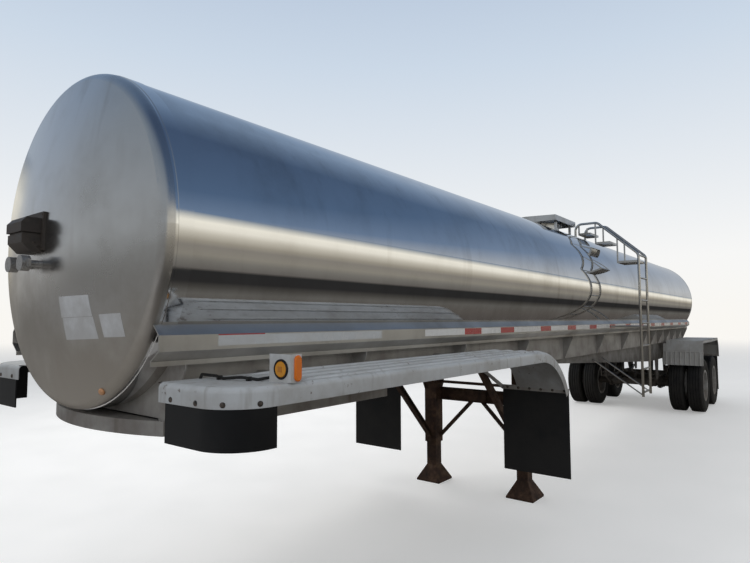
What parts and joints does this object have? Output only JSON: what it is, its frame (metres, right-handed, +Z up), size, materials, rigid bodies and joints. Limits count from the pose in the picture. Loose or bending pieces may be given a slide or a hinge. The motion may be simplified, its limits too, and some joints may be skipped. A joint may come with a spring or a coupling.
{
  "type": "tank semi-trailer",
  "caption": "Polished stainless tank semi-trailer on tandem dual axles, parked on its landing legs, with side ladder, hinged manhole lid, long front fenders and reflective side stripes.",
  "frame": {"origin": "on the ground under the middle of the overall box", "axes": "+X to the front (kingpin end), +Y to the left, +Z up"},
  "size_m": [13.805, 2.59, 3.196],
  "materials": {
    "polished_steel": "mirror polished stainless",
    "satin_steel": "satin stainless with dirt",
    "frame_grey": "weathered light grey",
    "dark_steel": "dirty black",
    "rusty_steel": "rusted and dusty",
    "fender_grey": "weathered pale grey",
    "black_rubber": "dusty",
    "tyre_rubber": "worn and dusty",
    "wheel_grey": "dusty grey",
    "ladder_steel": "dull stainless tube",
    "box_black": "weathered black",
    "coupling_metal": "dull cast metal",
    "amber_lens": "translucent amber",
    "red_lens": "translucent red"
  },
  "bodies": {
    "trailer": {"air_reservoirs": "dark_steel", "amber_lenses_left": "amber_lens", "amber_lenses_right": "amber_lens", "axle_front": "dark_steel", "axle_rear": "dark_steel", "cross_members": "frame_grey", "frame_rail_left": "frame_grey", "frame_rail_right": "frame_grey", "front_fender_left": "fender_grey", "front_fender_right": "fender_grey", "front_flaps": "black_rubber", "front_head": "satin_steel", "front_skirts": "black_rubber", "gladhands": "coupling_metal", "kingpin": "dark_steel", "ladder_braces": "ladder_steel", "ladder_rails": "ladder_steel", "ladder_rungs": "ladder_steel", "ladder_treads": "ladder_steel", "lamp_plate_left": "fender_grey", "lamp_plate_right": "fender_grey", "landing_braces": "rusty_steel", "landing_drive": "rusty_steel", "landing_leg_left": "rusty_steel", "landing_leg_right": "rusty_steel", "leaf_springs": "dark_steel", "manhole_cover": "polished_steel", "manhole_neck": "polished_steel", "nose_box": "box_black", "outlet_valve": "polished_steel", "rear_bumper": "frame_grey", "rear_fender_left": "fender_grey", "rear_fender_right": "fender_grey", "rear_flaps": "black_rubber", "rear_head": "satin_steel", "side_rail_left": "frame_grey", "side_rail_right": "frame_grey", "subframe_left": "frame_grey", "subframe_right": "frame_grey", "tail_lamps": "red_lens", "tank_saddles": "frame_grey", "tank_shell": "polished_steel", "upper_coupler": "frame_grey"},
    "wheels_front_left": {"tyres_front_left": "tyre_rubber", "wheel_hub_front_left": "wheel_grey"},
    "wheels_front_right": {"tyres_front_right": "tyre_rubber", "wheel_hub_front_right": "wheel_grey"},
    "wheels_rear_left": {"tyres_rear_left": "tyre_rubber", "wheel_hub_rear_left": "wheel_grey"},
    "wheels_rear_right": {"tyres_rear_right": "tyre_rubber", "wheel_hub_rear_right": "wheel_grey"},
    "manhole_lid": {"box_lid": "polished_steel"}
  },
  "joints": [
    {"name": "front_left_wheels_turn", "type": "hinge", "parent": "trailer", "child": "wheels_front_left", "pos_m": [-4.8625, 0.9815, 0.518], "axis": [0, 1, 0], "continuous": true},
    {"name": "front_right_wheels_turn", "type": "hinge", "parent": "trailer", "child": "wheels_front_right", "pos_m": [-4.8625, -0.9815, 0.518], "axis": [0, 1, 0], "continuous": true},
    {"name": "rear_left_wheels_turn", "type": "hinge", "parent": "trailer", "child": "wheels_rear_left", "pos_m": [-6.1325, 0.9815, 0.518], "axis": [0, 1, 0], "continuous": true},
    {"name": "rear_right_wheels_turn", "type": "hinge", "parent": "trailer", "child": "wheels_rear_right", "pos_m": [-6.1325, -0.9815, 0.518], "axis": [0, 1, 0], "continuous": true},
    {"name": "manhole_lid_hinge", "type": "hinge", "parent": "trailer", "child": "manhole_lid", "pos_m": [0.4125, -0.426, 3.129], "axis": [1, 0, 0], "range_deg": [0, 105]}
  ]
}
